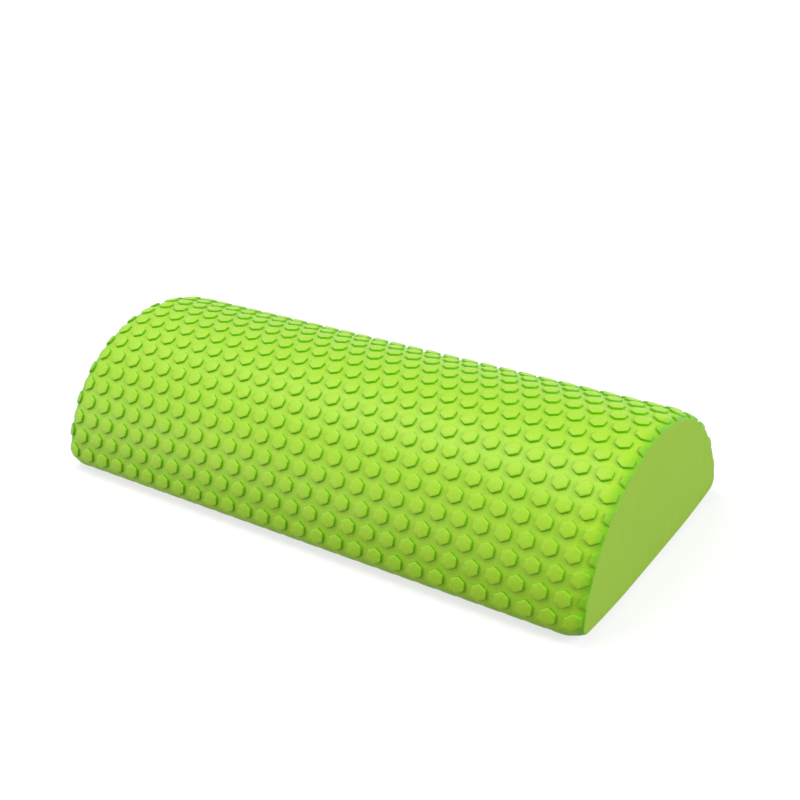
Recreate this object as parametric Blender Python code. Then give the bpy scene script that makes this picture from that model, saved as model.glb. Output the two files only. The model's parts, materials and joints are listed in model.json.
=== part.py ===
"""Half round foam roller, 300 mm long, built in metres with +Z up.

The length runs along X, the flat side lies on z = 0 and the origin is under the middle of the roller.
A plain foam core carries a studded cover, which wraps the dome and turns in under both long edges,
and a smooth sheet that closes the underside between the cover's two hems.
"""

import math

import bmesh
import bpy
from mathutils import Vector

# Overall shape
LENGTH = 0.300
HEIGHT = 0.069
DOME_RADIUS = 0.075
CORNER_RADIUS = 0.005
FLAT_BAND = 0.044
BASE_RISE = 0.003
END_DRAW = 0.003
END_REACH = 0.012

# Skin: the cover's thickness is taken between its studs, and the base sheet is cut from the same stock
SKIN_THICKNESS = 0.003
HEM_WIDTH = 0.012
BOND_GAP = 0.0003

# Studs: hexagons in a honeycomb, with a pair of flats facing the roller's ends, and their tops this wide
STUD_PITCH = 0.01077
STUD_WIDTH = 0.0073
STUD_HEIGHT = 0.0013

# The skin went on a little askew: its middle row of studs lies this far off the crest, towards +y
STUD_SHIFT = 0.0022

# Vertices closer than this are one
WELD = 0.00002

# Facets along each stretch of the half section, and along each drawn-in end
DOME_STEPS = 12
CORNER_STEPS = 5
UNDERSIDE_STEPS = 4
END_STEPS = 4

# Sharper edges than this stay crisp when a piece is shaded smooth
CREASE_ANGLE = math.radians(25)

SKIN_GREEN = (0.376, 0.730, 0.065, 1)
CUT_FOAM_GREEN = (0.340, 0.600, 0.075, 1)
FOAM_ROUGHNESS = 0.7

ROW_PITCH = STUD_PITCH * math.sqrt(3) / 2
SKIN_RADIUS = DOME_RADIUS - STUD_HEIGHT
DOME_CENTRE = Vector((0, HEIGHT - DOME_RADIUS))


def underside_arc():
    """Centre and radius of the shallow arc that lifts the underside from its flat band to the long edges."""
    dome_edge = math.sqrt(SKIN_RADIUS**2 - (BASE_RISE - DOME_CENTRE.y) ** 2)
    reach = dome_edge - FLAT_BAND / 2
    radius = (reach**2 + BASE_RISE**2) / (2 * BASE_RISE)
    return Vector((FLAT_BAND / 2, radius)), radius


def corner_centre(under_centre, under_radius):
    """Centre of the rounded long edge, which touches the dome and the underside from within."""
    from_dome = SKIN_RADIUS - CORNER_RADIUS
    from_under = under_radius - CORNER_RADIUS
    apart = under_centre - DOME_CENTRE
    along = (from_dome**2 - from_under**2 + apart.length_squared) / (2 * apart.length)
    across = math.sqrt(from_dome**2 - along**2)
    upward = apart.normalized()
    outward = Vector((upward.y, -upward.x))
    return DOME_CENTRE + upward * along + outward * across


def heading(vector):
    """Angle of a (y, z) direction, from straight up towards +y."""
    return math.atan2(vector.x, vector.y)


def half_section():
    """The skin's outline between the studs, crest to flat band: (centre, radius, first angle, last angle, steps)."""
    under_centre, under_radius = underside_arc()
    corner = corner_centre(under_centre, under_radius)
    dome_end = heading(corner - DOME_CENTRE)
    corner_end = heading(corner - under_centre)
    return (
        (DOME_CENTRE, SKIN_RADIUS, 0, dome_end, DOME_STEPS),
        (corner, CORNER_RADIUS, dome_end, corner_end, CORNER_STEPS),
        (under_centre, under_radius, corner_end, math.pi, UNDERSIDE_STEPS),
    )


def stretch_length(stretch):
    """Length of one arc of the section, measured over the stud tops."""
    _, radius, first, last, _ = stretch
    return (radius + STUD_HEIGHT) * (last - first)


SECTION = half_section()
DOME_RUN = stretch_length(SECTION[0])
CORNER_RUN = DOME_RUN + stretch_length(SECTION[1])
HEM_RUN = CORNER_RUN + HEM_WIDTH
STUD_ROWS_A_SIDE = round(DOME_RUN / ROW_PITCH)


def skin_point(x, run, rise):
    """The point at a signed run round the section from the crest, raised off the skin by rise."""
    side = math.copysign(1, run)
    left = abs(run)
    for stretch in SECTION:
        centre, radius, first, last, _ = stretch
        length = stretch_length(stretch)
        if left <= length or stretch is SECTION[-1]:
            break
        left -= length
    angle = first + left / (radius + STUD_HEIGHT)
    beyond = max(0, angle - last) * radius
    angle = min(angle, last)
    y = centre.x + (radius + rise) * math.sin(angle) - beyond
    z = centre.y + (radius + rise) * math.cos(angle)
    return drawn_in(Vector((x, side * y, z)))


def drawn_in(point):
    """The same point after the foam has pulled in towards the middle of a sawn end."""
    past = max(0, abs(point.x) - (LENGTH / 2 - END_REACH)) / END_REACH
    pull = END_DRAW * past**2
    middle = HEIGHT / 2
    y = point.y * (1 - pull / DOME_RADIUS)
    z = middle + (point.z - middle) * (1 - pull / middle)
    return Vector((point.x, y, z))


def section_runs():
    """Runs of the section's facet edges, from the crest to the edge of the flat band."""
    runs = [0]
    start = 0
    for stretch in SECTION:
        length = stretch_length(stretch)
        steps = stretch[-1]
        runs += [start + length * step / steps for step in range(1, steps + 1)]
        start += length
    return runs


def lengthways():
    """Places along X where the roller is cut into rings, close together where the ends draw in."""
    gaps = [END_REACH * step / END_STEPS for step in range(END_STEPS + 1)]
    left = [gap - LENGTH / 2 for gap in gaps]
    right = [LENGTH / 2 - gap for gap in reversed(gaps)]
    return left + right


def foam(name, colour):
    """Matt closed-cell foam."""
    material = bpy.data.materials.new(name)
    material.use_nodes = True
    shader = material.node_tree.nodes["Principled BSDF"]
    shader.inputs["Base Color"].default_value = colour
    shader.inputs["Roughness"].default_value = FOAM_ROUGHNESS
    shader.inputs["Metallic"].default_value = 0
    material.diffuse_color = colour
    return material


def finished(name, bm, material, collection, parent):
    """Turns a closed bmesh into a named, shaded object in the roller's collection."""
    bmesh.ops.recalc_face_normals(bm, faces=bm.faces)
    if bm.calc_volume(signed=True) < 0:
        bmesh.ops.reverse_faces(bm, faces=bm.faces)
    mesh = bpy.data.meshes.new(name)
    bm.to_mesh(mesh)
    bm.free()
    mesh.materials.append(material)
    mesh.shade_smooth()
    mesh.set_sharp_from_angle(angle=CREASE_ANGLE)
    piece = bpy.data.objects.new(name, mesh)
    piece.parent = parent
    collection.objects.link(piece)
    return piece


def close_holes(bm):
    """Fills each open rim with one face."""
    bmesh.ops.holes_fill(bm, edges=[edge for edge in bm.edges if edge.is_boundary], sides=0)


def extruded(outline):
    """A solid whose section is outline, a list of (run, rise), extruded from end to end ring by ring."""
    places = lengthways()
    bm = bmesh.new()
    corners = [bm.verts.new((places[0], run, rise)) for run, rise in outline]
    ring = [bm.edges.new(pair) for pair in zip(corners, corners[1:] + corners[:1])]
    for here, there in zip(places, places[1:]):
        grown = bmesh.ops.extrude_edge_only(bm, edges=ring)["geom"]
        ahead = [item for item in grown if isinstance(item, bmesh.types.BMVert)]
        bmesh.ops.translate(bm, vec=(there - here, 0, 0), verts=ahead)
        ring = [item for item in grown if isinstance(item, bmesh.types.BMEdge)]
    close_holes(bm)
    for vert in bm.verts:
        vert.co = skin_point(*vert.co)
    return bm


def core():
    """The solid half round block that fills the skin, a bond line inside it."""
    depth = -(SKIN_THICKNESS + BOND_GAP)
    runs = section_runs()
    far_side = [(-run, depth) for run in reversed(runs[1:])]
    near_side = [(run, depth) for run in runs]
    return extruded(far_side + near_side)


def base_sheet():
    """The smooth sheet on the underside, from hem to hem."""
    edge = HEM_RUN + BOND_GAP
    runs = [edge] + [run for run in section_runs() if run > edge]
    outside = [(run, 0) for run in runs] + [(-run, 0) for run in reversed(runs)]
    inside = [(run, -SKIN_THICKNESS) for run, _ in reversed(outside)]
    return extruded(outside + inside)


def honeycomb():
    """A flat sheet of hexagonal cells, x along the roller and y round it, that reaches past its four edges."""
    cell_radius = STUD_PITCH / math.sqrt(3)
    columns = math.ceil(LENGTH / 2 / STUD_PITCH) + 1
    rows = math.ceil((HEM_RUN + STUD_SHIFT) / ROW_PITCH) + 1
    bm = bmesh.new()
    for row in range(-rows, rows + 1):
        stagger = STUD_PITCH / 2 * (row % 2)
        run = row * ROW_PITCH + STUD_SHIFT
        for column in range(-columns, columns + 1):
            made = bmesh.ops.create_circle(bm, cap_ends=True, segments=6, radius=cell_radius)["verts"]
            bmesh.ops.translate(bm, vec=(column * STUD_PITCH + stagger, run, 0), verts=made)
    bmesh.ops.remove_doubles(bm, verts=bm.verts, dist=WELD)
    return bm


def geometry_of(faces):
    """Faces with the edges and vertices that they use, as the bisect tool wants them."""
    edges = dict.fromkeys(edge for face in faces for edge in face.edges)
    verts = dict.fromkeys(vert for face in faces for vert in face.verts)
    return [*faces, *edges, *verts]


def cut(bm, faces, place, direction, trim=False):
    """Bisects some faces at a plane and, to trim, drops what lies beyond it."""
    bmesh.ops.bisect_plane(
        bm, geom=geometry_of(faces), dist=WELD, plane_co=place, plane_no=direction, clear_outer=trim
    )


def level_faces(bm, level):
    """The faces of a flat sheet that lie wholly at one height."""
    return [face for face in bm.faces if all(abs(vert.co.z - level) < WELD for vert in face.verts)]


def cover():
    """The studded sheet: made flat, trimmed, given its thickness and then wrapped round the section."""
    bm = honeycomb()
    reach = (STUD_ROWS_A_SIDE + 1 / 2) * ROW_PITCH
    studs = [face for face in bm.faces if abs(face.calc_center_median().y - STUD_SHIFT) < reach]
    groove = (STUD_PITCH - STUD_WIDTH) / 2
    bmesh.ops.inset_individual(bm, faces=studs, thickness=groove, depth=STUD_HEIGHT, use_even_offset=True)
    for side in (1, -1):
        cut(bm, bm.faces[:], (side * LENGTH / 2, 0, 0), (side, 0, 0), trim=True)
        cut(bm, bm.faces[:], (0, side * HEM_RUN, 0), (0, side, 0), trim=True)

    # The plain margins, and the studs that reach onto a rounded edge, are cut into strips that can bend
    bmesh.ops.dissolve_faces(bm, faces=level_faces(bm, 0))
    folds = [run for run in section_runs() if run < HEM_RUN]
    for run in folds:
        if run > DOME_RUN - WELD:
            for level in (0, STUD_HEIGHT):
                cut(bm, level_faces(bm, level), (0, run, 0), (0, 1, 0))
                cut(bm, level_faces(bm, level), (0, -run, 0), (0, 1, 0))
    for x in lengthways()[1:-1]:
        cut(bm, level_faces(bm, 0), (x, 0, 0), (1, 0, 0))

    rim = [edge for edge in bm.edges if edge.is_boundary]
    grown = bmesh.ops.extrude_edge_only(bm, edges=rim)["geom"]
    for vert in grown:
        if isinstance(vert, bmesh.types.BMVert):
            vert.co.z = -SKIN_THICKNESS
    close_holes(bm)
    for run in folds:
        cut(bm, level_faces(bm, -SKIN_THICKNESS), (0, run, 0), (0, 1, 0))
        cut(bm, level_faces(bm, -SKIN_THICKNESS), (0, -run, 0), (0, 1, 0))
    for x in lengthways()[1:-1]:
        cut(bm, level_faces(bm, -SKIN_THICKNESS), (x, 0, 0), (1, 0, 0))
    for vert in bm.verts:
        vert.co = skin_point(*vert.co)
    return bm


def main():
    for old in list(bpy.data.objects):
        bpy.data.objects.remove(old)
    collection = bpy.data.collections.new("half_round_foam_roller")
    bpy.context.scene.collection.children.link(collection)
    roller = bpy.data.objects.new("roller_origin", None)
    collection.objects.link(roller)
    skin = foam("skinned_foam", SKIN_GREEN)
    cut_foam = foam("cut_foam", CUT_FOAM_GREEN)
    finished("foam_core", core(), cut_foam, collection, roller)
    finished("textured_cover", cover(), skin, collection, roller)
    finished("base_sheet", base_sheet(), skin, collection, roller)


main()
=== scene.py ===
"""Half round foam roller: its looks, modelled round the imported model.

The roller lies along X on its flat side. A foam core shows at both sawn ends. A skin with hexagonal
studs wraps the dome and turns in under both long edges, and a smooth sheet closes the underside.
Each skin piece is first modelled flat, with x along the roller, y the run round it from the crest
and z the rise off the skin, and is then wrapped round the roller's section.
"""

import json
import math
from collections import namedtuple

import bmesh
import bpy
import numpy as np
from bpy.props import FloatProperty, FloatVectorProperty, IntProperty, PointerProperty
from bpy.types import Operator, Panel, PropertyGroup
from mathutils import Matrix, Vector

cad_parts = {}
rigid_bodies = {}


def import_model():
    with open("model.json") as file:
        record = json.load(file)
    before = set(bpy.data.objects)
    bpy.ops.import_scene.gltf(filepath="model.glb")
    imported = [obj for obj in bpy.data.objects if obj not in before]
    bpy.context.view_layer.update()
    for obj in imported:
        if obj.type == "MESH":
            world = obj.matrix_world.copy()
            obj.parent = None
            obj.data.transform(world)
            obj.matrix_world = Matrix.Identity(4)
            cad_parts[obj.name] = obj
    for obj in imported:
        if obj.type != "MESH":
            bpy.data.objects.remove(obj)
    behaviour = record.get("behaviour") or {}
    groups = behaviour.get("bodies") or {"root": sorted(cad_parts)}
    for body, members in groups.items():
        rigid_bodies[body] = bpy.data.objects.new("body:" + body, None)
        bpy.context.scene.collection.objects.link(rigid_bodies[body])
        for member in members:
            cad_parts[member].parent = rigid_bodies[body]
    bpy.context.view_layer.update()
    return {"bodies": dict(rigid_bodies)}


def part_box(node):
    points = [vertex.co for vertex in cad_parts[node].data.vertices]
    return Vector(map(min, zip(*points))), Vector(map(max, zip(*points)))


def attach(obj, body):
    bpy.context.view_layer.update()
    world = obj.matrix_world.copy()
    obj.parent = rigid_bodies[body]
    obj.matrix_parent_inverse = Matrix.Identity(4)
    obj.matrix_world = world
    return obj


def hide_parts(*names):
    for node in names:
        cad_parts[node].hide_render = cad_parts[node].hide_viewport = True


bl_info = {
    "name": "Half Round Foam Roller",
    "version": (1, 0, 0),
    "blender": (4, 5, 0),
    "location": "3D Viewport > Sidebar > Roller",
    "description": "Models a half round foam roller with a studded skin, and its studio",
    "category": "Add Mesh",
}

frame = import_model()

COVER_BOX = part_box("textured_cover")
BODY = next(iter(frame["bodies"]))

# Vertices closer than this are one
WELD = 0.00001

# The core reaches this far into the skin, so that no daylight shows along the glue line
CORE_BITE = 0.00002

# Faces that meet at less than this are shaded as one
SMOOTH_ANGLE = math.radians(50)

# Cuts that let a piece bend: strips on a turned long edge, strips over half a sheet's width, rings at
# a sawn end, and sides of the core
EDGE_STRIPS = 10
SHEET_STRIPS = 24
END_RINGS = 6
CORE_SIDES = 256

# Shares of a softened rim and of the studs' fading at which the skin is cut, closer where it curves more
RIM_SHARES = (0.1, 0.35, 0.7, 1)
FADE_SHARES = (0.3, 0.5, 0.75, 1)

# One arc of the section: its centre, radius, first and last heading, where its run starts and its length
Arc = namedtuple("Arc", "y z radius first last start length")


def linear(hex_colour):
    """An sRGB colour such as "A0D84C" as linear red, green, blue and alpha."""
    parts = [int(hex_colour[place:place + 2], 16) / 255 for place in (0, 2, 4)]
    return [part / 12.92 if part <= 0.04045 else ((part + 0.055) / 1.055) ** 2.4 for part in parts] + [1]


def size(name, value, about):
    """A length that the user can change."""
    return FloatProperty(name=name, description=about, default=value, min=0, precision=5, unit="LENGTH")


def share(name, value, about):
    """A share from 0 to 1 that the user can change."""
    return FloatProperty(name=name, description=about, default=value, min=0, max=1, subtype="FACTOR")


def power(name, watts, about):
    """A lamp's power that the user can change."""
    return FloatProperty(name=name, description=about, default=watts, min=0, unit="POWER")


def spot(name, place, about):
    """A place in the studio that the user can change."""
    return FloatVectorProperty(name=name, description=about, default=place, size=3, subtype="TRANSLATION")


def paint(name, hex_colour, about):
    """A colour that the user can change."""
    return FloatVectorProperty(
        name=name, description=about, default=linear(hex_colour), size=4, min=0, max=1, subtype="COLOR"
    )


def turn(name, degrees, about):
    """An angle that the user can change."""
    return FloatProperty(name=name, description=about, default=math.radians(degrees), subtype="ANGLE")


class RollerSizes(PropertyGroup):
    """The roller's length, its section and its skin."""

    length: size("Length", COVER_BOX[1].x - COVER_BOX[0].x, "From one sawn end to the other")
    height: size("Height", 0.069, "From the flat band to the stud tops on the crest")
    dome_radius: size("Dome radius", 0.075, "Radius of the dome, over the stud tops")
    corner_radius: size("Edge radius", 0.005, "Radius of the two rounded long edges")
    flat_band: size("Flat band", 0.044, "Width of the band that the roller lies on")
    base_rise: size("Base rise", 0.003, "How far the underside rises to the long edges")
    end_draw: size("End draw", 0.0024, "How far the foam pulls in at a sawn end")
    end_reach: size("End reach", 0.010, "How far from a sawn end the foam starts to pull in")
    skin: size("Skin", 0.003, "Thickness of the skin between its studs")
    hem: size("Hem", 0.012, "How far the studded skin runs on under each long edge")
    hem_gap: size("Hem gap", 0.0003, "Seam between the studded skin and the base sheet")
    edge_round: size("Edge round", 0.0003, "Radius of the skin's softened rims")
    # The skin turns towards the walls' darker green within this reach of each sawn end
    end_band_reach: size("Drag reach", 0.005, "How far from a sawn end the saw has dragged the skin")


class StudSizes(PropertyGroup):
    """The studs of the skin, in a honeycomb with flats facing the roller's ends."""

    pitch: size("Pitch", 0.01077, "From stud to stud")
    shift: size("Shift", 0.0022, "How far the middle row lies off the crest, towards the back")
    foot_width: size("Foot width", 0.0074, "Width of a stud across its flats, at the groove")
    height: size("Height", 0.00145, "From the groove to the stud's top")
    draft: size("Draft", 0.0002, "How far the sides lean in")
    rim_round: size("Rim round", 0.00035, "Radius of the stud's upper rim")
    crown: size("Crown", 0.0002, "How far the top swells from its rim to its middle")
    crown_reach: size("Crown reach", 0.0008, "Width of the swelling's steeper ring, inside the rim")
    ring_share: share("Ring share", 0.7, "Share of the crown that the steeper ring climbs")
    corner_round: size("Corner round", 0.0005, "How much of each corner is rounded off")
    rows_a_side: IntProperty(
        name="Rows a side", description="Stud rows each side of the middle row", default=12, min=1
    )
    turned_share: share("Turned share", 0.1, "Height left to the last rows, which the turned edges stretch")
    fade: size("Fade", 0.0006, "Stretch at a sawn end in which the studs melt into the skin")


class RollerColours(PropertyGroup):
    """Colours of the foam, of its gloss, and of the shade painted on the studs' walls."""

    skin: paint("Skin", "A9D62E", "Moulded skin of the foam")
    skin_deep: paint("Skin, deep", "94CA1F", "Darker clouds in the moulded skin")
    # Painted shade: a darker, deeper green that stands in for the shade on the studs' walls
    wall: paint("Stud walls", "5EB403", "The skin on the studs' walls, which the mould leaves denser")
    gloss: paint("Gloss", "FFFDDA", "Tint of the moulded skin's gloss")
    cut: paint("Cut foam", "A0C841", "Foam where it was sawn")
    cut_deep: paint("Cut foam, deep", "92BC37", "Darker clouds in the sawn foam")


class StudioSettings(PropertyGroup):
    """Camera, lamps and floor."""

    azimuth: turn("Azimuth", 35.52, "Camera's bearing round the roller, from the front")
    elevation: turn("Elevation", 26.44, "Camera's height above the horizon")
    roll: turn("Roll", -2.85, "Camera's tilt to the side")
    distance: size("Distance", 0.6037, "From the camera to the plane it looks at")
    slide_right: size("Slide right", 0.01171, "Camera's slide to its right")
    slide_up: size("Slide up", 0.01332, "Camera's slide upwards")
    aim_height: size("Aim height", 0.030, "Height that the camera's slides start from")
    lens: FloatProperty(
        name="Lens", description="Focal length in millimetres, on a sensor 36 mm wide", default=54.35, min=1
    )
    key_place: spot("Key softbox", (-0.6, -0.12, 1.58), "Place of the softbox overhead")
    key_width: size("Key width", 1.0, "Side of the softbox overhead")
    key_power: power("Key power", 15.2, "Power of the softbox overhead")
    front_place: spot("Front softbox", (-1.15, -1.1, 0.55), "Place of the softbox at the front left")
    front_width: size("Front width", 1.2, "Side of the softbox at the front left")
    front_power: power("Front power", 10, "Power of the softbox at the front left")
    side_place: spot("Side softbox", (1.3, 0.05, 0.85), "Place of the softbox at the right")
    side_width: size("Side width", 0.8, "Side of the softbox at the right")
    side_power: power("Side power", 15.5, "Power of the softbox at the right")
    room: share("Room", 0.33, "Light that the pale room throws back on the roller")
    floor_size: size("Floor", 12.0, "Side of the floor")
    paper: paint("Paper", "9E9E9E", "The paper as it is seen, before it washes out")
    paper_bounce: paint("Paper, bounce", "7C7C7C", "The paper as its light reaches the roller")
    wash: share("Wash", 0.7, "How far the paper washes out beside the roller")
    sweep_start: size("Sweep start", 0.20, "Distance from the roller at which the paper starts to wash out")
    sweep_end: size("Sweep end", 0.80, "Distance from the roller at which the paper is plain white")


def section():
    """Arcs of half the skin's outline between the studs, from the crest to the flat band."""
    sizes = bpy.context.scene.roller_sizes
    over = bpy.context.scene.roller_studs.height
    dome = Vector((0, sizes.height - sizes.dome_radius))
    dome_radius = sizes.dome_radius - over
    dome_edge = math.sqrt(dome_radius**2 - (sizes.base_rise - dome.y) ** 2)
    reach = dome_edge - sizes.flat_band / 2
    under_radius = (reach**2 + sizes.base_rise**2) / (2 * sizes.base_rise)
    under = Vector((sizes.flat_band / 2, under_radius))

    from_dome = dome_radius - sizes.corner_radius
    from_under = under_radius - sizes.corner_radius
    apart = under - dome
    along = (from_dome**2 - from_under**2 + apart.length_squared) / (2 * apart.length)
    across = math.sqrt(from_dome**2 - along**2)
    upward = apart.normalized()
    corner = dome + upward * along + Vector((upward.y, -upward.x)) * across
    dome_end = math.atan2(*(corner - dome))
    corner_end = math.atan2(*(corner - under))

    arcs = []
    start = 0
    for centre, radius, first, last in (
        (dome, dome_radius, 0, dome_end),
        (corner, sizes.corner_radius, dome_end, corner_end),
        (under, under_radius, corner_end, math.pi),
    ):
        length = (radius + over) * (last - first)
        arcs.append(Arc(centre.x, centre.y, radius, first, last, start, length))
        start += length
    return arcs


def hem_run():
    """The run from the crest to the studded skin's edge on the underside."""
    return section()[2].start + bpy.context.scene.roller_sizes.hem


def middle_run():
    """The run from the crest to the middle of the underside."""
    under = section()[2]
    flat = bpy.context.scene.roller_sizes.flat_band / 2
    over = bpy.context.scene.roller_studs.height
    return under.start + under.length + flat * (under.radius + over) / under.radius


def wrap(piece):
    """Wraps a flat sheet of (x, run, rise) round the section, and draws it in at the sawn ends.

    A run past the last arc goes straight on, over the flat band.
    """
    sizes = bpy.context.scene.roller_sizes
    over = bpy.context.scene.roller_studs.height
    mesh = piece.data
    flat = np.empty(len(mesh.vertices) * 3)
    mesh.vertices.foreach_get("co", flat)
    x, run, rise = flat.reshape(-1, 3).T
    from_crest = np.abs(run)
    y = np.zeros(len(x))
    z = np.zeros(len(x))
    for arc in section():
        here = from_crest >= arc.start
        heading = arc.first + (from_crest[here] - arc.start) / (arc.radius + over)
        bent = np.minimum(heading, arc.last)
        y[here] = arc.y + (arc.radius + rise[here]) * np.sin(bent) - (heading - bent) * arc.radius
        z[here] = arc.z + (arc.radius + rise[here]) * np.cos(bent)
    y *= np.sign(run)

    past = np.maximum(0, np.abs(x) - (sizes.length / 2 - sizes.end_reach)) / sizes.end_reach
    pull = sizes.end_draw * past**2
    middle = sizes.height / 2
    y *= 1 - pull / sizes.dome_radius
    z = middle + (z - middle) * (1 - pull / middle)
    mesh.vertices.foreach_set("co", np.stack((x, y, z), axis=1).ravel())
    mesh.update()


def editing(piece):
    """Opens one piece alone in edit mode."""
    if bpy.context.object and bpy.context.object.mode == "EDIT":
        bpy.ops.object.mode_set(mode="OBJECT")
    bpy.ops.object.select_all(action="DESELECT")
    bpy.context.view_layer.objects.active = piece
    piece.select_set(True)
    bpy.ops.object.mode_set(mode="EDIT")


def select(kind, wanted):
    """Selects the edges or faces of the open piece that pass a test, and nothing else."""
    bpy.ops.mesh.select_mode(type=kind)
    mesh = bpy.context.object.data
    bm = bmesh.from_edit_mesh(mesh)
    for item in bm.edges if kind == "EDGE" else bm.faces:
        item.select_set(wanted(item))
    bm.select_flush_mode()
    bmesh.update_edit_mesh(mesh)


def open_edge(edge):
    """Whether an edge lies on a rim or stands alone."""
    return edge.is_boundary or edge.is_wire


def slice_all(place, direction, **keep):
    """Cuts the whole open piece at a plane."""
    bpy.ops.mesh.select_all(action="SELECT")
    bpy.ops.mesh.bisect(plane_co=place, plane_no=direction, threshold=WELD, **keep)


def array(piece, name, count, offset):
    """Repeats a piece along a line, its copies welded where they meet."""
    tiled = piece.modifiers.new(name, "ARRAY")
    tiled.count = count
    tiled.use_relative_offset = False
    tiled.use_constant_offset = True
    tiled.constant_offset_displace = offset
    tiled.use_merge_vertices = True
    tiled.merge_threshold = WELD
    bpy.ops.object.modifier_apply(modifier=name)


def rim_slices():
    """Distances from a rim at which the skin is cut, for its softened edge."""
    rim = bpy.context.scene.roller_sizes.edge_round
    return [rim * part for part in RIM_SHARES]


def end_slices():
    """Distances from a sawn end at which the skin is cut, for its softened rim and its fading studs."""
    fade = bpy.context.scene.roller_studs.fade
    return rim_slices() + [fade * part for part in FADE_SHARES]


def end_rings():
    """Places along the roller at which its right half is cut, so that the sawn end can draw in."""
    sizes = bpy.context.scene.roller_sizes
    return [sizes.length / 2 - sizes.end_reach * step / END_RINGS for step in range(1, END_RINGS + 1)]


def rim_drop(distance):
    """How far a softened rim has dropped at a distance from its edge."""
    rim = bpy.context.scene.roller_sizes.edge_round
    inside = np.clip(1 - distance / rim, 0, 1)
    return rim * (1 - np.sqrt(1 - inside**2))


def stud_cell():
    """One cell of the honeycomb: a stud with a low crown, soft corners and rim, in its patch of groove."""
    studs = bpy.context.scene.roller_studs
    bpy.ops.object.select_all(action="DESELECT")
    across_corners = 1 / math.sqrt(3)
    bpy.ops.mesh.primitive_circle_add(
        vertices=6, radius=studs.foot_width * across_corners, fill_type="NGON", location=(0, 0, 0)
    )
    cell = bpy.context.object
    bpy.ops.object.mode_set(mode="EDIT")
    bpy.ops.mesh.select_all(action="SELECT")
    bpy.ops.mesh.bevel(offset=studs.corner_round, segments=1, affect="VERTICES")
    bpy.ops.mesh.primitive_circle_add(vertices=6, radius=studs.pitch * across_corners, location=(0, 0, 0))
    select("EDGE", open_edge)
    bpy.ops.mesh.fill(use_beauty=True)
    bpy.ops.mesh.select_all(action="SELECT")
    bpy.ops.mesh.normals_make_consistent(inside=False)

    # Only the stud's own face has more than four corners, and it is raised by wall, rim and crown
    select("FACE", lambda face: len(face.verts) > 4)
    rim = studs.rim_round
    slope = math.sqrt(1 / 2)
    wall = studs.height - studs.crown - rim
    bpy.ops.mesh.inset(thickness=studs.draft, depth=wall)
    bpy.ops.mesh.inset(thickness=rim * (1 - slope), depth=rim * slope)
    bpy.ops.mesh.inset(thickness=rim * slope, depth=rim * (1 - slope))
    bpy.ops.mesh.inset(thickness=studs.crown_reach, depth=studs.crown * studs.ring_share)
    bpy.ops.mesh.poke(offset=studs.crown * (1 - studs.ring_share))
    bpy.ops.object.mode_set(mode="OBJECT")
    return cell


def row_pitch():
    """The run from one row of studs to the next."""
    return bpy.context.scene.roller_studs.pitch * math.sqrt(3) / 2


def honeycomb():
    """The flat studded sheet: the cell in slanting rows, trimmed to the roller's length."""
    sizes = bpy.context.scene.roller_sizes
    studs = bpy.context.scene.roller_studs
    rows = 2 * studs.rows_a_side + 1
    half_columns = math.ceil(sizes.length / 2 / studs.pitch + studs.rows_a_side / 2) + 1
    sheet = stud_cell()
    array(sheet, "columns", 2 * half_columns + 1, (studs.pitch, 0, 0))
    array(sheet, "rows", rows, (studs.pitch / 2, row_pitch(), 0))
    editing(sheet)
    bpy.ops.mesh.select_all(action="SELECT")
    first_column = -(half_columns + studs.rows_a_side / 2) * studs.pitch
    first_row = studs.shift - studs.rows_a_side * row_pitch()
    bpy.ops.transform.translate(value=(first_column, first_row, 0))
    for side in (1, -1):
        slice_all((side * sizes.length / 2, 0, 0), (side, 0, 0), clear_outer=True)
    return sheet


def finish_piece(piece, name, node, materials):
    """Names a piece, smooths and paints it, and has it stand for its CAD node."""
    sizes = bpy.context.scene.roller_sizes
    editing(piece)
    bpy.ops.mesh.select_all(action="SELECT")
    bpy.ops.mesh.normals_make_consistent(inside=False)
    bpy.ops.object.mode_set(mode="OBJECT")
    piece.name = name
    piece.data.name = name
    for material in materials:
        piece.data.materials.append(material)
    sawn = sizes.length / 2 - WELD
    for face in piece.data.polygons:
        at_end = all(abs(piece.data.vertices[index].co.x) > sawn for index in face.vertices)
        face.material_index = len(materials) - 1 if at_end else 0
    bpy.ops.object.shade_smooth_by_angle(angle=SMOOTH_ANGLE)
    weighted = piece.modifiers.new("weighted", "WEIGHTED_NORMAL")
    weighted.keep_sharp = True
    bpy.ops.object.modifier_apply(modifier="weighted")
    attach(piece, BODY)
    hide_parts(node)


def add_node(material, kind, inputs=(), links=(), **settings):
    """Adds one node to a material, with its settings, socket values and the outputs that feed it.

    A socket goes by its name, or by its number where a node has several of one name, as Mix has.
    """
    tree = material.node_tree
    node = tree.nodes.new(kind)
    for name, value in settings.items():
        setattr(node, name, value)
    for name, value in dict(inputs).items():
        node.inputs[name].default_value = value
    for name, source in dict(links).items():
        tree.links.new(source, node.inputs[name])
    return node


def new_material(name):
    """An empty node material and its output node."""
    material = bpy.data.materials.new(name)
    material.use_nodes = True
    material.node_tree.nodes.clear()
    return material, add_node(material, "ShaderNodeOutputMaterial")


def scale_of(width_mm, coarser=1):
    """The scale that draws a pattern of a real width in millimetres, a few times coarser if need be."""
    return 1000 / (width_mm * coarser)


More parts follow.
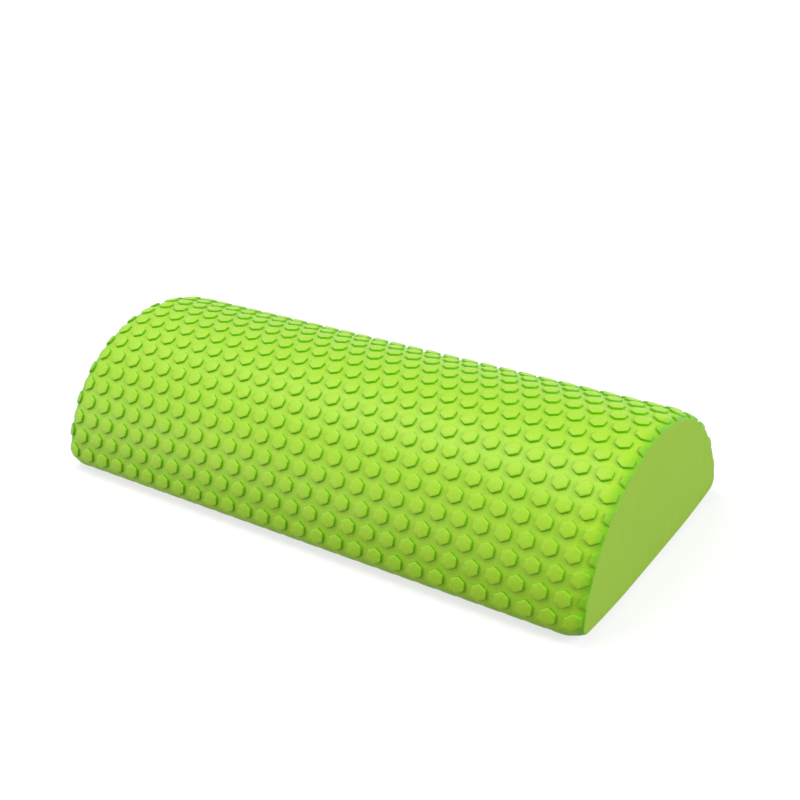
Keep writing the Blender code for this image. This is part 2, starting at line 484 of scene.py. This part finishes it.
def moulded_eva():
    """EVA foam pressed in a hot mould: a closed, matt skin with a soft sheen, fine grain, faint clouds."""
    colours = bpy.context.scene.roller_colours
    material, output = new_material("moulded_eva_skin")
    place = add_node(material, "ShaderNodeTexCoord").outputs["Object"]

    # The foam's density wavers over a few centimetres. The mould's etched grain is about 0.3 mm wide,
    # too fine to show, and is drawn 3 times coarser
    clouds = add_node(
        material, "ShaderNodeTexNoise", {"Scale": scale_of(36), "Detail": 3, "Roughness": 0.55},
        {"Vector": place},
    )
    grain = add_node(
        material, "ShaderNodeTexNoise", {"Scale": scale_of(0.3, coarser=3), "Detail": 3, "Roughness": 0.7},
        {"Vector": place},
    )
    speckle = add_node(
        material, "ShaderNodeMapRange", {"From Min": 0.38, "From Max": 0.62},
        {"Value": grain.outputs["Fac"]},
    )
    mottle = add_node(
        material, "ShaderNodeMix", {0: 0.5}, {2: clouds.outputs["Fac"], 3: speckle.outputs[0]}
    )
    tint = add_node(
        material, "ShaderNodeMix", {6: colours.skin_deep, 7: colours.skin},
        {0: mottle.outputs[0]}, data_type="RGBA",
    )

    # The relief runs from 0 in the groove to 1 on a stud. The walls lie between. Painted shade gives them a
    # darker, deeper green, which fades out over the rounded rim
    relief = add_node(material, "ShaderNodeAttribute", attribute_name="relief").outputs["Fac"]
    foot = add_node(
        material, "ShaderNodeMapRange", {"From Min": 0.0, "From Max": 0.1}, {"Value": relief}
    ).outputs[0]
    rim = add_node(
        material, "ShaderNodeMapRange", {"From Min": 0.76, "From Max": 0.58}, {"Value": relief}
    ).outputs[0]
    wall = add_node(
        material, "ShaderNodeMath", links={0: foot, 1: rim}, operation="MULTIPLY"
    )

    # Within a band at each sawn end the skin also turns towards the walls' darker green
    sizes = bpy.context.scene.roller_sizes
    half = sizes.length / 2
    along = add_node(material, "ShaderNodeSeparateXYZ", links={0: place}).outputs["X"]
    out = add_node(material, "ShaderNodeMath", links={0: along}, operation="ABSOLUTE").outputs[0]
    dragged = add_node(
        material, "ShaderNodeMapRange",
        {"From Min": half - sizes.end_band_reach, "From Max": half, "To Max": 0.7},
        {"Value": out}, interpolation_type="SMOOTHSTEP",
    ).outputs[0]
    wall_shade_and_end_band = add_node(
        material, "ShaderNodeMath", links={0: wall.outputs[0], 1: dragged}, operation="MAXIMUM"
    )
    # The walls' painted shade and the band at the sawn ends mix the darker green into the skin's colour
    skin = add_node(
        material, "ShaderNodeMix", {7: colours.wall},
        {0: wall_shade_and_end_band.outputs[0], 6: tint.outputs[2]}, data_type="RGBA",
    )
    matt = add_node(
        material, "ShaderNodeMapRange", {"To Min": 0.34, "To Max": 0.54}, {"Value": grain.outputs["Fac"]}
    )
    bump = add_node(
        material, "ShaderNodeBump", {"Strength": 0.5, "Distance": 0.0001}, {"Height": grain.outputs["Fac"]}
    )
    shader = add_node(
        material, "ShaderNodeBsdfPrincipled",
        {
            "IOR": 1.49, "Specular IOR Level": 0.4, "Specular Tint": colours.gloss,
            "Sheen Weight": 0.12, "Sheen Roughness": 0.4,
        },
        {"Base Color": skin.outputs[2], "Roughness": matt.outputs[0], "Normal": bump.outputs[0]},
    )
    material.node_tree.links.new(shader.outputs[0], output.inputs["Surface"])
    return material


def sawn_eva():
    """EVA foam sawn across: dull, with opened cells and the saw's faint upright lines."""
    colours = bpy.context.scene.roller_colours
    material, output = new_material("sawn_eva_foam")
    place = add_node(material, "ShaderNodeTexCoord").outputs["Object"]

    # The saw leaves lines about 0.8 mm apart and opens cells of about 0.2 mm. Both are too fine to show,
    # and are drawn 3 times coarser. A line is 25 times as long as it is wide
    clouds = add_node(
        material, "ShaderNodeTexNoise", {"Scale": scale_of(22), "Detail": 4, "Roughness": 0.6},
        {"Vector": place},
    )
    upright = add_node(material, "ShaderNodeMapping", {"Scale": (1, 1, 1 / 25)}, {"Vector": place})
    lines = add_node(
        material, "ShaderNodeTexNoise", {"Scale": scale_of(0.8, coarser=3), "Detail": 2, "Roughness": 0.6},
        {"Vector": upright.outputs[0]},
    )
    streaks = add_node(
        material, "ShaderNodeMix", {0: 0.6}, {2: clouds.outputs["Fac"], 3: lines.outputs["Fac"]}
    )
    cells = add_node(
        material, "ShaderNodeTexVoronoi", {"Scale": scale_of(0.2, coarser=3)}, {"Vector": place}
    )
    tint = add_node(
        material, "ShaderNodeMix", {6: colours.cut_deep, 7: colours.cut},
        {0: streaks.outputs[0]}, data_type="RGBA",
    )
    bump = add_node(
        material, "ShaderNodeBump", {"Strength": 0.3, "Distance": 0.00008},
        {"Height": cells.outputs["Distance"]},
    )
    shader = add_node(
        material, "ShaderNodeBsdfPrincipled", {"IOR": 1.49, "Roughness": 0.8},
        {"Base Color": tint.outputs[2], "Normal": bump.outputs[0]},
    )
    material.node_tree.links.new(shader.outputs[0], output.inputs["Surface"])
    return material


def foam_materials():
    """The skin's material and the sawn foam's, made once."""
    made = bpy.data.materials
    return (
        made.get("moulded_eva_skin") or moulded_eva(),
        made.get("sawn_eva_foam") or sawn_eva(),
    )


class ROLLER_OT_studded_cover(Operator):
    """Models the studded skin, which wraps the dome and turns in under both long edges"""

    bl_idname = "roller.studded_cover"
    bl_label = "Studded cover"

    def execute(self, context):
        sizes = context.scene.roller_sizes
        studs = context.scene.roller_studs
        edge = hem_run()
        sheet = honeycomb()

        # Smooth margins, from the zigzag of the last stud rows to past the hems
        half = sizes.length / 2
        for side in (1, -1):
            select("EDGE", lambda rim: rim.is_boundary and any(
                abs(vert.co.x) < half - WELD and vert.co.y * side > 0 for vert in rim.verts
            ))
            bpy.ops.mesh.extrude_edges_move(TRANSFORM_OT_translate={"value": (0, side * edge, 0)})
            slice_all((0, side * edge, 0), (0, side, 0), clear_outer=True)

        # Rings where the studs fade, and strips where the long edges turn and the hem's rim softens
        corner = section()[1]
        folds = [corner.start + corner.length * step / EDGE_STRIPS for step in range(EDGE_STRIPS + 1)]
        folds += [edge - gap for gap in rim_slices()] + [edge - sizes.hem / 2]
        for side in (1, -1):
            for gap in end_slices():
                slice_all((side * (half - gap), 0, 0), (1, 0, 0))
            for fold in folds:
                slice_all((0, side * fold, 0), (0, 1, 0))

        # The relief is noted for the skin's colour, which paints shade on the studs' walls. Then the last
        # rows go flat, the studs fade at the sawn ends and the rims drop
        bpy.ops.object.mode_set(mode="OBJECT")
        flat = np.empty(len(sheet.data.vertices) * 3)
        sheet.data.vertices.foreach_get("co", flat)
        flat = flat.reshape(-1, 3)
        relief = sheet.data.attributes.new("relief", "FLOAT", "POINT")
        relief.data.foreach_set("value", flat[:, 2] / studs.height)
        row = np.round((flat[:, 1] - studs.shift) / row_pitch())
        flat[:, 2] *= np.where(np.abs(row) == studs.rows_a_side, studs.turned_share, 1)
        from_end = half - np.abs(flat[:, 0])
        flat[:, 2] *= 1 - (1 - np.clip(from_end / studs.fade, 0, 1)) ** 2
        flat[:, 2] -= np.maximum(rim_drop(from_end), rim_drop(edge - np.abs(flat[:, 1])))
        sheet.data.vertices.foreach_set("co", flat.ravel())

        # The skin's thickness, and its inner side cut into strips and rings that can bend
        editing(sheet)
        select("EDGE", open_edge)
        bpy.ops.mesh.extrude_edges_move(TRANSFORM_OT_translate={"value": (0, 0, -2 * sizes.skin)})
        slice_all((0, 0, -sizes.skin), (0, 0, 1), clear_inner=True, use_fill=True)
        dome = section()[0]
        strips = [dome.length * step / SHEET_STRIPS for step in range(SHEET_STRIPS)] + folds
        cuts = [((0, run, 0), (0, 1, 0)) for run in strips]
        cuts += [((x, 0, 0), (1, 0, 0)) for x in end_rings()]
        for side in (1, -1):
            for place, direction in cuts:
                select("FACE", lambda face: all(vert.co.z < WELD - sizes.skin for vert in face.verts))
                bpy.ops.mesh.bisect(
                    plane_co=Vector(place) * side, plane_no=direction, threshold=WELD
                )
        bpy.ops.object.mode_set(mode="OBJECT")
        wrap(sheet)
        finish_piece(sheet, "studded_cover", "textured_cover", foam_materials())
        return {"FINISHED"}


class ROLLER_OT_base_sheet(Operator):
    """Models the smooth sheet that closes the underside between the studded skin's hems"""

    bl_idname = "roller.base_sheet"
    bl_label = "Base sheet"

    def execute(self, context):
        sizes = context.scene.roller_sizes
        middle = middle_run()
        half = sizes.length / 2
        half_width = middle - hem_run() - sizes.hem_gap
        bpy.ops.object.select_all(action="DESELECT")
        bpy.ops.mesh.primitive_plane_add(size=1, location=(0, 0, 0))
        sheet = context.object
        editing(sheet)
        bpy.ops.mesh.select_all(action="SELECT")
        bpy.ops.transform.resize(value=(sizes.length, 2 * half_width, 1))
        strips = [half_width * step / SHEET_STRIPS for step in range(SHEET_STRIPS)]
        strips += [half_width - gap for gap in rim_slices()]
        rings = end_rings() + [half - gap for gap in end_slices()]
        cuts = [((0, run, 0), (0, 1, 0)) for run in strips]
        cuts += [((x, 0, 0), (1, 0, 0)) for x in rings]
        for side in (1, -1):
            for place, direction in cuts:
                slice_all(Vector(place) * side, direction)
        bpy.ops.mesh.select_all(action="SELECT")
        bpy.ops.mesh.extrude_region_move(TRANSFORM_OT_translate={"value": (0, 0, -sizes.skin)})
        bpy.ops.object.mode_set(mode="OBJECT")

        flat = np.empty(len(sheet.data.vertices) * 3)
        sheet.data.vertices.foreach_get("co", flat)
        flat = flat.reshape(-1, 3)
        outside = flat[:, 2] > WELD - sizes.skin
        from_end = half - np.abs(flat[:, 0])
        drop = np.maximum(rim_drop(from_end), rim_drop(half_width - np.abs(flat[:, 1])))
        flat[:, 2] -= drop * outside
        across = flat[:, 1].copy()
        flat[:, 1] = np.where(across < 0, -1, 1) * (middle - np.abs(across))
        sheet.data.vertices.foreach_set("co", flat.ravel())
        wrap(sheet)
        finish_piece(sheet, "smooth_base_sheet", "base_sheet", foam_materials())
        return {"FINISHED"}


class ROLLER_OT_foam_core(Operator):
    """Models the solid foam block that shows at both sawn ends"""

    bl_idname = "roller.foam_core"
    bl_label = "Foam core"

    def execute(self, context):
        sizes = context.scene.roller_sizes
        bpy.ops.object.select_all(action="DESELECT")
        bpy.ops.mesh.primitive_cylinder_add(
            vertices=CORE_SIDES, radius=sizes.skin, depth=sizes.length, location=(0, 0, 0),
            rotation=(0, math.pi / 2, 0), end_fill_type="NGON",
        )
        block = context.object
        bpy.ops.object.transform_apply(location=True, rotation=True, scale=True)
        editing(block)
        for side in (1, -1):
            for x in end_rings():
                slice_all((side * x, 0, 0), (1, 0, 0))
        bpy.ops.object.mode_set(mode="OBJECT")

        # Headings round the cylinder become runs round the section, at the depth of the skin
        round_block = np.empty(len(block.data.vertices) * 3)
        block.data.vertices.foreach_get("co", round_block)
        x, y, z = round_block.reshape(-1, 3).T
        run = np.arctan2(y, z) / math.pi * middle_run()
        rise = np.full(len(x), CORE_BITE - sizes.skin)
        block.data.vertices.foreach_set("co", np.stack((x, run, rise), axis=1).ravel())
        wrap(block)
        finish_piece(block, "sawn_foam_core", "foam_core", foam_materials()[1:])
        return {"FINISHED"}


class ROLLER_OT_studio(Operator):
    """Sets up the floor, the soft lamps and the camera"""

    bl_idname = "roller.studio"
    bl_label = "Studio"

    def execute(self, context):
        studio = context.scene.roller_studio
        bpy.ops.object.select_all(action="DESELECT")
        bpy.ops.mesh.primitive_plane_add(size=studio.floor_size, location=(0, 0, 0))
        floor = context.object
        floor.name = "floor"
        floor.data.materials.append(paper_floor())
        soft_lamps()
        photo_camera()
        context.scene.view_settings.view_transform = "Standard"
        return {"FINISHED"}


def looking_rays(material):
    """1 for a ray that sees the studio, straight or mirrored, and 0 for one that lights the roller."""
    path = add_node(material, "ShaderNodeLightPath")
    mirrored = add_node(
        material, "ShaderNodeMath", (),
        {0: path.outputs["Is Glossy Ray"], 1: path.outputs["Is Transmission Ray"]}, operation="MAXIMUM",
    )
    return add_node(
        material, "ShaderNodeMath", (),
        {0: path.outputs["Is Camera Ray"], 1: mirrored.outputs[0]}, operation="MAXIMUM",
    ).outputs[0]


def paper_floor():
    """White paper: it is seen washed out to white, less so near the roller, whose shadow it keeps."""
    studio = bpy.context.scene.roller_studio
    material, output = new_material("white_paper")
    place = add_node(material, "ShaderNodeTexCoord").outputs["Object"]
    away = add_node(material, "ShaderNodeVectorMath", (), {0: place}, operation="LENGTH")
    wash = add_node(
        material, "ShaderNodeMapRange",
        {"From Min": studio.sweep_start, "From Max": studio.sweep_end, "To Min": studio.wash},
        {"Value": away.outputs["Value"]},
    )
    paper = add_node(material, "ShaderNodeBsdfDiffuse", {"Color": studio.paper})
    glow = add_node(material, "ShaderNodeEmission", (), {"Strength": wash.outputs[0]})
    seen = add_node(material, "ShaderNodeAddShader", (), {0: paper.outputs[0], 1: glow.outputs[0]})
    bounce = add_node(material, "ShaderNodeBsdfDiffuse", {"Color": studio.paper_bounce})
    choose = add_node(
        material, "ShaderNodeMixShader", (),
        {0: looking_rays(material), 1: bounce.outputs[0], 2: seen.outputs[0]},
    )
    material.node_tree.links.new(choose.outputs[0], output.inputs["Surface"])
    return material


def soft_lamps():
    """Softboxes overhead, at the front left and at the right, in a pale room."""
    studio = bpy.context.scene.roller_studio
    world = bpy.data.worlds.new("pale_room")
    bpy.context.scene.world = world
    world.use_nodes = True
    world.node_tree.nodes.clear()
    room = add_node(world, "ShaderNodeBackground", {"Color": linear("FFFFFF"), "Strength": studio.room})
    white = add_node(world, "ShaderNodeBackground", {"Color": linear("FFFFFF"), "Strength": 1})
    choose = add_node(
        world, "ShaderNodeMixShader", (),
        {0: looking_rays(world), 1: room.outputs[0], 2: white.outputs[0]},
    )
    add_node(world, "ShaderNodeOutputWorld", (), {"Surface": choose.outputs[0]})
    softbox("key_softbox", studio.key_place, studio.key_width, studio.key_power)
    softbox("front_softbox", studio.front_place, studio.front_width, studio.front_power)
    softbox("side_softbox", studio.side_place, studio.side_width, studio.side_power)


def softbox(name, place, width, watts):
    """A square lamp that faces the roller."""
    light = bpy.data.lights.new(name, "AREA")
    light.shape = "SQUARE"
    light.size = width
    light.energy = watts
    box = bpy.data.objects.new(name, light)
    box.location = place
    box.rotation_euler = place.to_track_quat("Z", "Y").to_euler()
    bpy.context.collection.objects.link(box)


def photo_camera():
    """The camera, at the photograph's place."""
    studio = bpy.context.scene.roller_studio
    across, rise, roll = studio.azimuth, studio.elevation, studio.roll
    back = Vector((math.sin(across) * math.cos(rise), -math.cos(across) * math.cos(rise), math.sin(rise)))
    level = Vector((math.cos(across), math.sin(across), 0))
    upright = back.cross(level)
    right = level * math.cos(roll) + upright * math.sin(roll)
    up = back.cross(right)
    place = back * studio.distance + right * studio.slide_right + up * studio.slide_up
    place.z += studio.aim_height
    lens = bpy.data.cameras.new("photo_camera")
    lens.lens = studio.lens
    lens.sensor_width = 36
    lens.clip_start = 0.01
    camera = bpy.data.objects.new("photo_camera", lens)
    turned = Matrix((right, up, back)).transposed()
    camera.matrix_world = Matrix.Translation(place) @ turned.to_4x4()
    bpy.context.collection.objects.link(camera)
    bpy.context.scene.camera = camera


OPERATORS = (ROLLER_OT_foam_core, ROLLER_OT_studded_cover, ROLLER_OT_base_sheet, ROLLER_OT_studio)
SETTINGS = {
    "roller_sizes": RollerSizes,
    "roller_studs": StudSizes,
    "roller_colours": RollerColours,
    "roller_studio": StudioSettings,
}


class ROLLER_PT_pieces(Panel):
    """Lists the roller's pieces and settings in the sidebar"""

    bl_idname = "ROLLER_PT_pieces"
    bl_label = "Half Round Foam Roller"
    bl_space_type = "VIEW_3D"
    bl_region_type = "UI"
    bl_category = "Roller"

    def draw(self, context):
        layout = self.layout
        for operator in OPERATORS:
            layout.operator(operator.bl_idname)
        for name, group in SETTINGS.items():
            box = layout.box()
            for entry in group.__annotations__:
                box.prop(getattr(context.scene, name), entry)


CLASSES = (*SETTINGS.values(), *OPERATORS, ROLLER_PT_pieces)


def register():
    for cls in CLASSES:
        bpy.utils.register_class(cls)
    for name, group in SETTINGS.items():
        setattr(bpy.types.Scene, name, PointerProperty(type=group))


def unregister():
    for name in SETTINGS:
        delattr(bpy.types.Scene, name)
    for cls in reversed(CLASSES):
        bpy.utils.unregister_class(cls)


def main():
    register()
    bpy.ops.roller.foam_core()
    bpy.ops.roller.studded_cover()
    bpy.ops.roller.base_sheet()
    bpy.ops.roller.studio()


if __name__ == "__main__":
    main()
